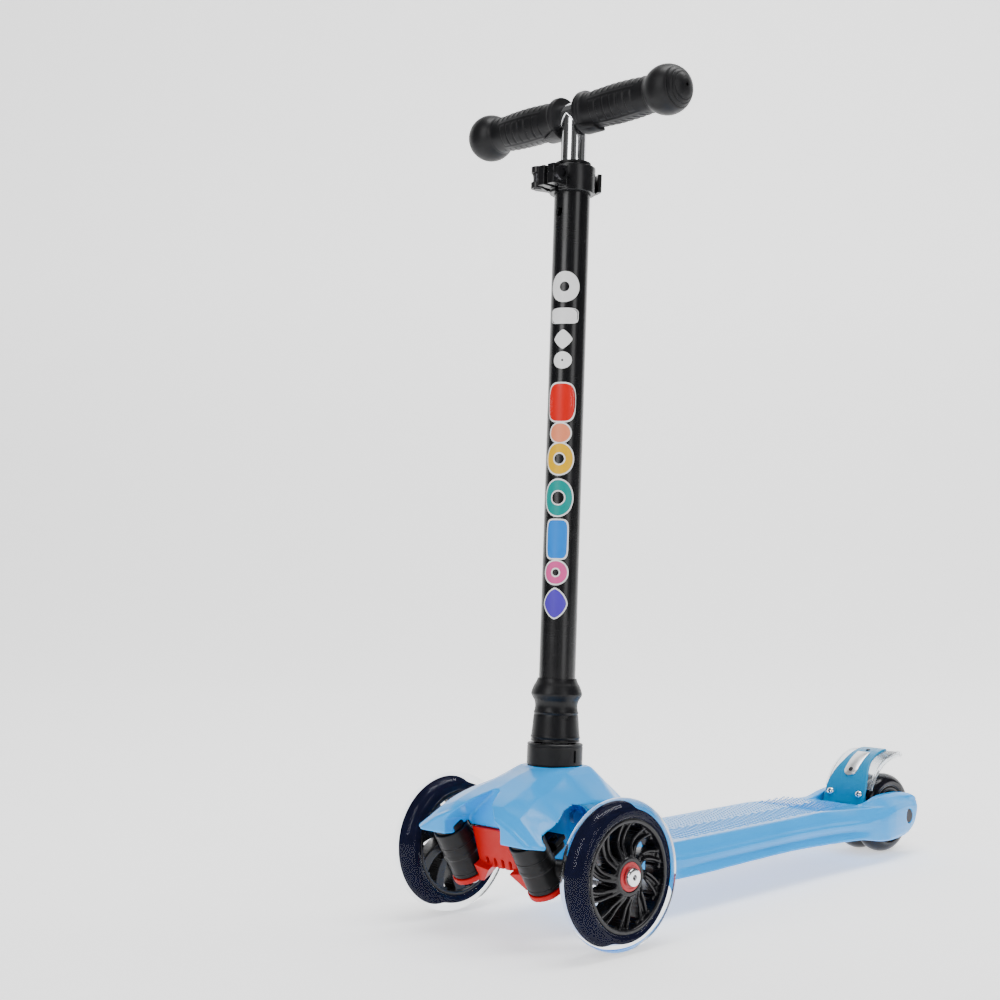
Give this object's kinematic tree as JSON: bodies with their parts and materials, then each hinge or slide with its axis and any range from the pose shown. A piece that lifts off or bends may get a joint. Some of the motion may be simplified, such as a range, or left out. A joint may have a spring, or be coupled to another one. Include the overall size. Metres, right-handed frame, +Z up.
{
  "type": "kick scooter",
  "caption": "Child's lean-steer kick scooter: moulded deck, large front wheels, paired rear wheels, sprung foot brake, folding telescopic stem with clamp lever and ball-end grips.",
  "frame": {"origin": "on the floor, midway across the object and midway between the nose's tip and the back of the rear wheels", "axes": "+Z up, the scooter drives towards -Y, the rider's left is +X"},
  "size_m": [0.2526, 0.602, 0.7108],
  "materials": {
    "sky_blue_plastic": "moulded, fine satin grain, semi-gloss edges",
    "teal_blue_plastic": "moulded, semi-gloss",
    "red_plastic": "moulded, semi-gloss",
    "black_plastic": "fine matt texture",
    "dark_plastic": "satin",
    "grip_rubber": "soft matt rubber",
    "clear_tyre": "clear cast polyurethane over the lit core",
    "smoke_tyre": "smoky translucent cast polyurethane",
    "light_core": "smoked ring that holds the lights",
    "clear_guard": "clear moulded sheet",
    "steel": "zinc-plated",
    "chrome": "polished",
    "silver_badge": "satin anodised plate",
    "tube_metal": "satin black powder coat with printed coloured shapes",
    "lever_plastic": "satin",
    "cast_metal": "bead-blasted casting",
    "red_seal": "moulded lip seal",
    "spring_steel": "oil-tempered wire"
  },
  "bodies": {
    "deck": {"deck": "sky_blue_plastic", "steering_bracket": "red_plastic", "bracket_screws": "steel", "kingpin_left": "steel", "kingpin_right": "steel", "kingpin_nuts": "steel", "centring_spring_left": "spring_steel", "centring_spring_right": "spring_steel", "rear_axle": "steel", "rear_axle_nut": "steel", "rear_spacers": "steel", "brake_pin": "steel", "brake_spring": "spring_steel", "stem_collar": "black_plastic", "fold_tongue": "cast_metal", "fold_pin": "steel", "stem_bolt": "steel", "stem_bolt_nut": "steel"},
    "tie_rod": {"tie_rod": "dark_plastic"},
    "brake": {"brake_plate": "teal_blue_plastic", "brake_mudguard": "clear_guard", "brake_badge": "silver_badge", "brake_badge_screws": "steel", "brake_plate_screws": "steel"},
    "stem": {"fold_fork": "cast_metal", "lower_tube": "tube_metal", "post_guide": "black_plastic", "clamp_collar": "black_plastic", "clamp_bolt": "steel", "clamp_nut": "steel", "clamp_barrel": "steel"},
    "lock_sleeve": {"lock_sleeve": "black_plastic"},
    "clamp_lever": {"clamp_lever": "lever_plastic"},
    "post": {"upper_post": "chrome", "post_foot": "black_plastic", "button_spring": "spring_steel", "handlebar": "chrome", "grip_left": "grip_rubber", "grip_right": "grip_rubber"},
    "snap_button": {"snap_button": "steel"},
    "knuckle_left": {"knuckle_left": "black_plastic", "front_axle_bolt_left": "steel"},
    "front_wheel_left": {"front_hub_left": "dark_plastic", "front_light_core_left": "light_core", "front_tyre_left": "clear_tyre", "front_bearings_left": "steel", "front_seals_left": "red_seal"},
    "rear_wheel_left": {"rear_hub_left": "dark_plastic", "rear_tyre_left": "smoke_tyre", "rear_bearings_left": "steel"},
    "knuckle_right": {"knuckle_right": "black_plastic", "front_axle_bolt_right": "steel"},
    "front_wheel_right": {"front_hub_right": "dark_plastic", "front_light_core_right": "light_core", "front_tyre_right": "clear_tyre", "front_bearings_right": "steel", "front_seals_right": "red_seal"},
    "rear_wheel_right": {"rear_hub_right": "dark_plastic", "rear_tyre_right": "smoke_tyre", "rear_bearings_right": "steel"}
  },
  "joints": [
    {"name": "steer_left", "type": "hinge", "parent": "deck", "child": "knuckle_left", "pos_m": [0.045, -0.272, 0.066], "axis": [0, -0.5, 0.866], "range_deg": [-15, 15], "stiffness_Nm_per_rad": 6},
    {"name": "steer_right", "type": "hinge", "parent": "deck", "child": "knuckle_right", "pos_m": [-0.045, -0.272, 0.066], "axis": [0, -0.5, 0.866], "range_deg": [-15, 15]},
    {"name": "tie_rod_slide", "type": "slide", "parent": "deck", "child": "tie_rod", "axis": [1, 0, 0], "range_m": [-0.007, 0.007], "deforming": ["centring_spring_left", "centring_spring_right"]},
    {"name": "front_spin_left", "type": "hinge", "parent": "knuckle_left", "child": "front_wheel_left", "pos_m": [0.099, -0.234, 0.06], "axis": [1, 0, 0], "continuous": true},
    {"name": "front_spin_right", "type": "hinge", "parent": "knuckle_right", "child": "front_wheel_right", "pos_m": [-0.099, -0.234, 0.06], "axis": [1, 0, 0], "continuous": true},
    {"name": "rear_spin_left", "type": "hinge", "parent": "deck", "child": "rear_wheel_left", "pos_m": [0.0126, 0.261, 0.04], "axis": [1, 0, 0], "continuous": true},
    {"name": "rear_spin_right", "type": "hinge", "parent": "deck", "child": "rear_wheel_right", "pos_m": [-0.0126, 0.261, 0.04], "axis": [1, 0, 0], "continuous": true},
    {"name": "brake_press", "type": "hinge", "parent": "deck", "child": "brake", "pos_m": [0, 0.212, 0.0475], "axis": [-1, 0, 0], "range_deg": [0, 16], "stiffness_Nm_per_rad": 1.2, "springref_deg": -20.05, "deforming": ["brake_spring"]},
    {"name": "stem_fold", "type": "hinge", "parent": "deck", "child": "stem", "pos_m": [0, -0.20364, 0.17994], "axis": [-1, 0, 0], "range_deg": [0, 90]},
    {"name": "sleeve_lift", "type": "slide", "parent": "stem", "child": "lock_sleeve", "axis": [0, 0.0523, 0.9986], "range_m": [0, 0.06]},
    {"name": "lever_open", "type": "hinge", "parent": "stem", "child": "clamp_lever", "pos_m": [-0.0155, -0.20693, 0.63323], "axis": [0, 0.0523, 0.9986], "range_deg": [0, 150]},
    {"name": "post_height", "type": "slide", "parent": "stem", "child": "post", "axis": [0, 0.0523, 0.9986], "range_m": [0, 0.2]},
    {"name": "button_press", "type": "slide", "parent": "post", "child": "snap_button", "axis": [0, 0.9986, -0.0523], "range_m": [0, 0.003], "stiffness_N_per_m": 800, "springref_m": -0.002, "deforming": ["button_spring"]}
  ],
  "couplings": [
    {"joint": "steer_right", "follows": "steer_left", "ratio": 1},
    {"joint": "tie_rod_slide", "follows": "steer_left", "m_per_rad": -0.026},
    {"joint": "sleeve_lift", "follows": "stem_fold", "m_per_rad": 0.038}
  ]
}
